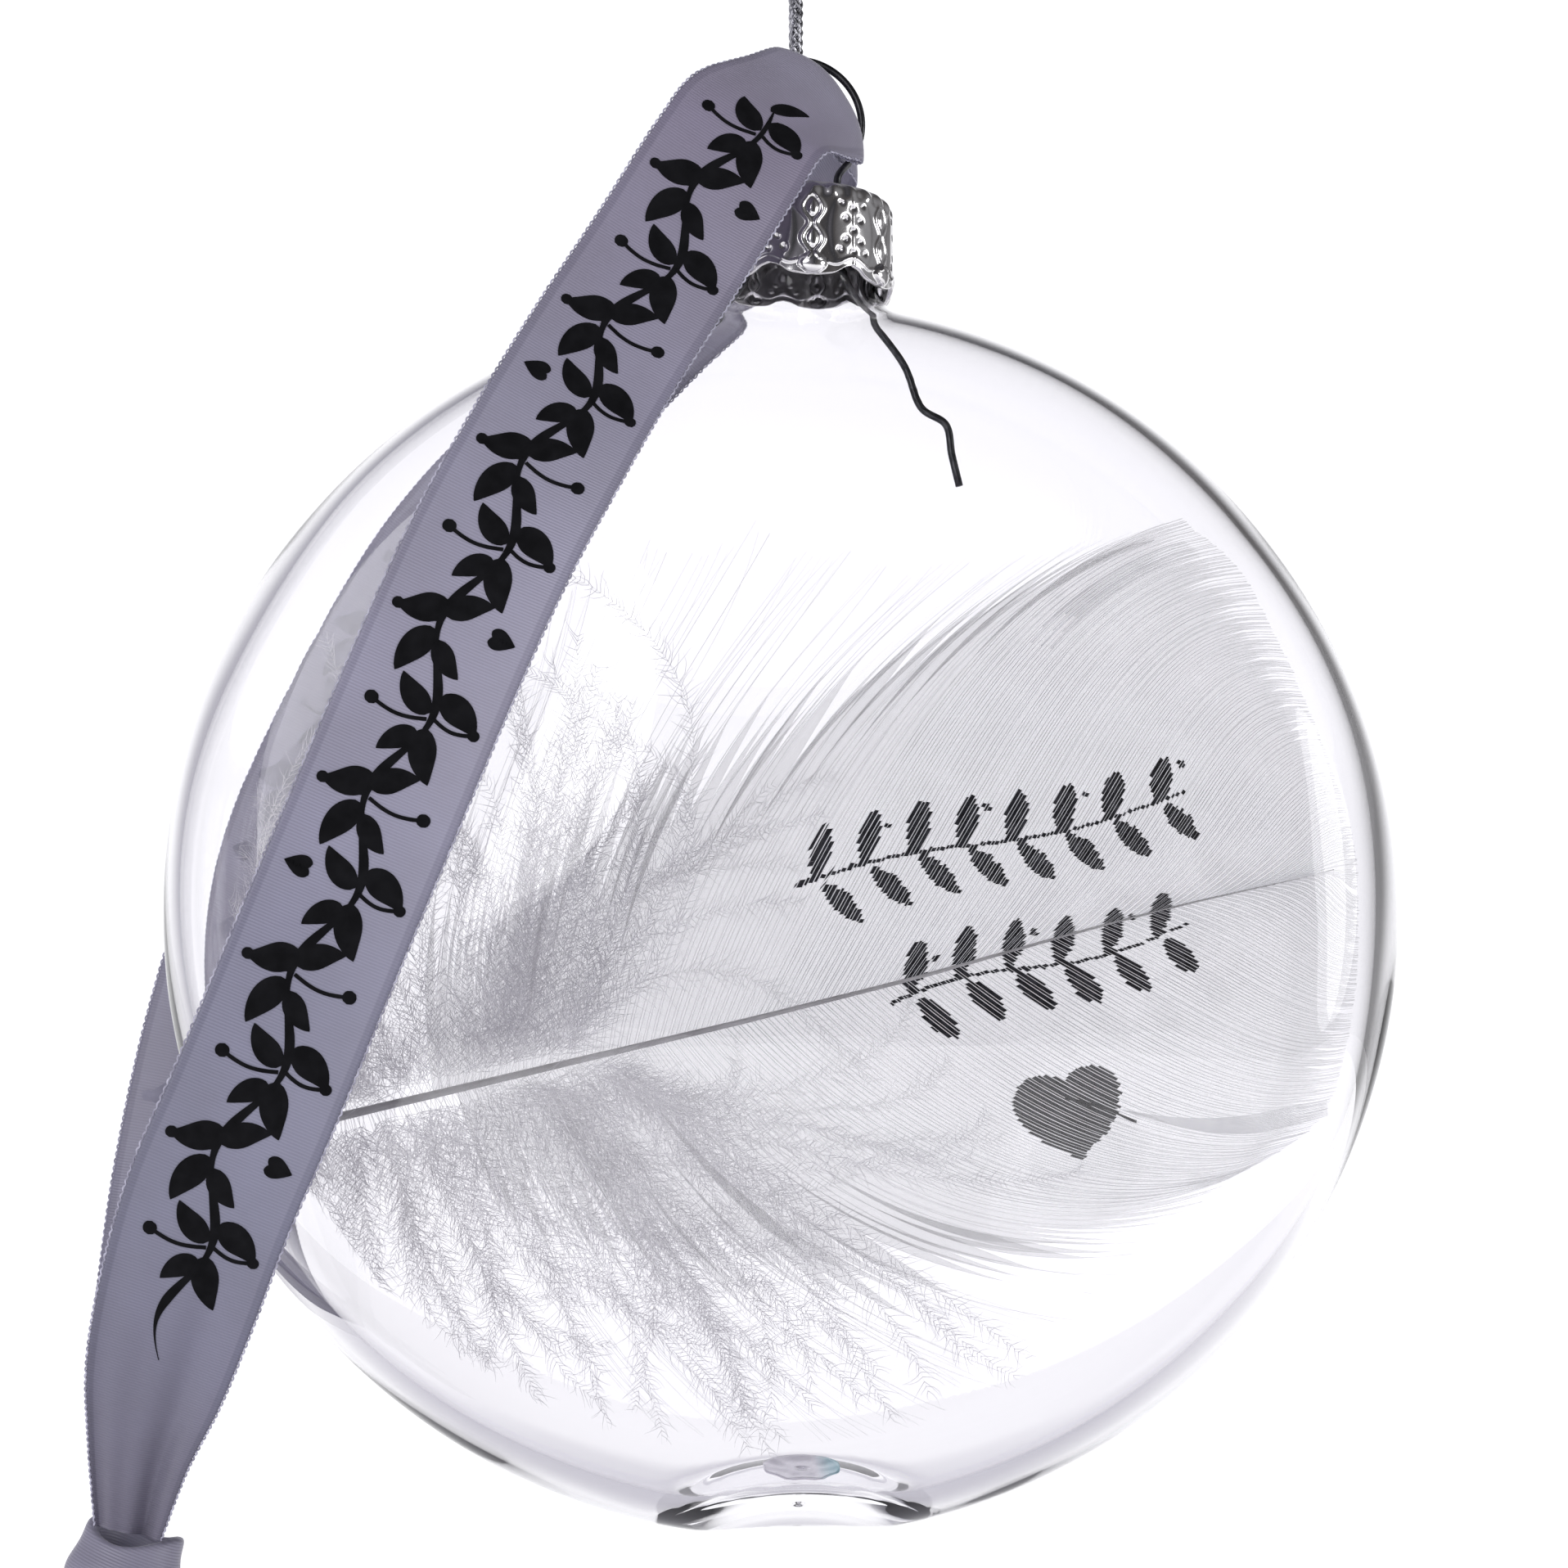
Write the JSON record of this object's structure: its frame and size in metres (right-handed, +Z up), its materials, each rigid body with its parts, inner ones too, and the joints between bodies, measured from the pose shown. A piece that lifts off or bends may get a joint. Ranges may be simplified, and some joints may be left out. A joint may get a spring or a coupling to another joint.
{
  "type": "glass ornament",
  "caption": "Flat round clear glass ornament with a feather sealed inside, a silver crown cap, a wire hanger, a braided cord and a knotted satin ribbon loop.",
  "frame": {"origin": "the top of the cord's loop, where a hook or twig holds the ornament", "axes": "+Z up along the neck's axis, -Y towards the viewer of the flat face, +X to that viewer's right"},
  "size_m": [0.0897, 0.0328, 0.1571],
  "materials": {
    "glass": "clear blown glass, polished",
    "cap_metal": "stamped, bright silver",
    "wire": "dark drawn spring wire",
    "cord": "braided metallic silver thread",
    "ribbon": "white satin with woven edges and a black printed vine",
    "quill": "keratin, slightly glossy",
    "feather": "white barbs and down",
    "sequin": "iridescent film"
  },
  "bodies": {
    "cord": {"hanging_cord": "cord", "cord_knot": "cord"},
    "hanger": {"wire_hanger": "wire", "crown_cap": "cap_metal"},
    "glass": {"glass_disc": "glass"},
    "feather": {"feather_shaft": "quill", "feather_vane_upper": "feather", "feather_vane_lower": "feather", "feather_down": "feather"},
    "sequin": {"sequin": "sequin"},
    "ribbon": {"ribbon_front": "ribbon", "ribbon_back": "ribbon", "ribbon_fold": "ribbon", "ribbon_knot": "ribbon", "ribbon_tail_front": "ribbon", "ribbon_tail_back": "ribbon"}
  },
  "joints": [
    {"name": "hanger_swing", "type": "hinge", "parent": "cord", "child": "hanger", "pos_m": [0, 0, -0.0305], "axis": [0, 1, 0], "range_deg": [-25, 25]},
    {"name": "cap_pull", "type": "slide", "parent": "hanger", "child": "glass", "axis": [0, 0, -1], "range_m": [0, 0.008], "deforming": ["wire_hanger"]},
    {"name": "feather_turn", "type": "hinge", "parent": "glass", "child": "feather", "pos_m": [-0.00075, 0, -0.083], "axis": [0, 1, 0], "range_deg": [-6, 18]},
    {"name": "sequin_turn", "type": "hinge", "parent": "glass", "child": "sequin", "pos_m": [0, -0.00425, -0.1192], "axis": [0, -0.1736, 0.9848], "continuous": true},
    {"name": "ribbon_swing", "type": "hinge", "parent": "hanger", "child": "ribbon", "pos_m": [0, 0, -0.0305], "axis": [0, 1, 0], "range_deg": [-8, 40]}
  ]
}
